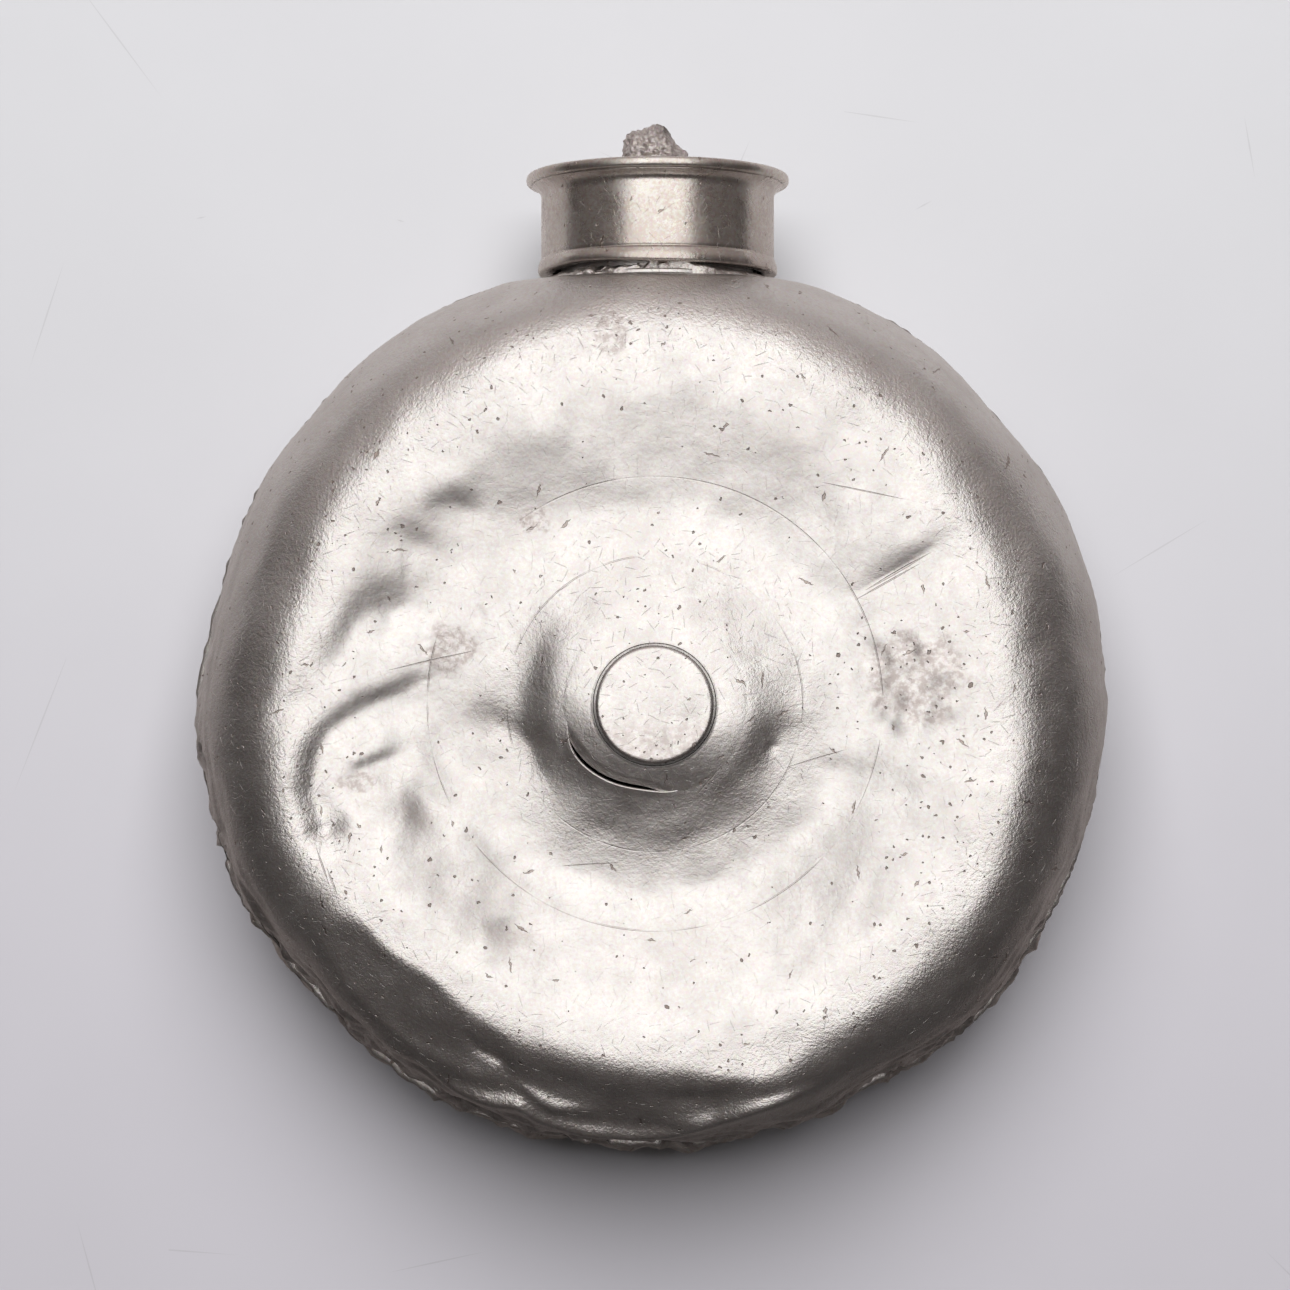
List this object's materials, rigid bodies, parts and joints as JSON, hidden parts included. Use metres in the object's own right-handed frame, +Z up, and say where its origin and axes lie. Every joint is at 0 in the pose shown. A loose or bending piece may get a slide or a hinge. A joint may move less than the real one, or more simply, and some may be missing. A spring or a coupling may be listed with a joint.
{
  "type": "round flask",
  "caption": "Round drinking flask in worn, dented pewter, with dished faces, turned bosses and a threaded neck closed by a flanged screw cap.",
  "frame": {"origin": "under the middle of the round body, on the plane that the flask lies on", "axes": "+Z up, out of the front face; +Y along the neck towards the cap; +X to the right of the front face with the neck at the top"},
  "size_m": [0.131, 0.1493, 0.048],
  "materials": {
    "pewter_body": "worn grey pewter, dented and scratched",
    "pewter_turned": "turned pewter, dulled",
    "pewter_cap": "worn pewter with faint turning lines",
    "pewter_fracture": "dark grainy broken pewter",
    "solder": "lumpy soft solder",
    "leather": "dark pressed leather"
  },
  "bodies": {
    "flask": {"front_shell": "pewter_body", "back_shell": "pewter_body", "seam_solder": "solder", "front_boss_ring": "pewter_turned", "front_boss_button": "pewter_turned", "back_boss_ring": "pewter_turned", "back_boss_button": "pewter_turned", "neck": "pewter_turned", "neck_solder": "solder"},
    "cap_seal": {"cap_washer": "leather"},
    "cap": {"cap_barrel": "pewter_cap", "cap_lid": "pewter_cap", "cap_stump": "pewter_fracture"}
  },
  "joints": [
    {"name": "cap_lift", "type": "slide", "parent": "flask", "child": "cap_seal", "axis": [0, 1, 0], "range_m": [0, 0.0151]},
    {"name": "cap_turn", "type": "hinge", "parent": "cap_seal", "child": "cap", "pos_m": [0.0005, 0.07, 0.024], "axis": [0, 1, 0], "range_deg": [0, 1800]}
  ],
  "couplings": [
    {"joint": "cap_lift", "follows": "cap_turn", "m_per_rad": 0.00047746}
  ]
}
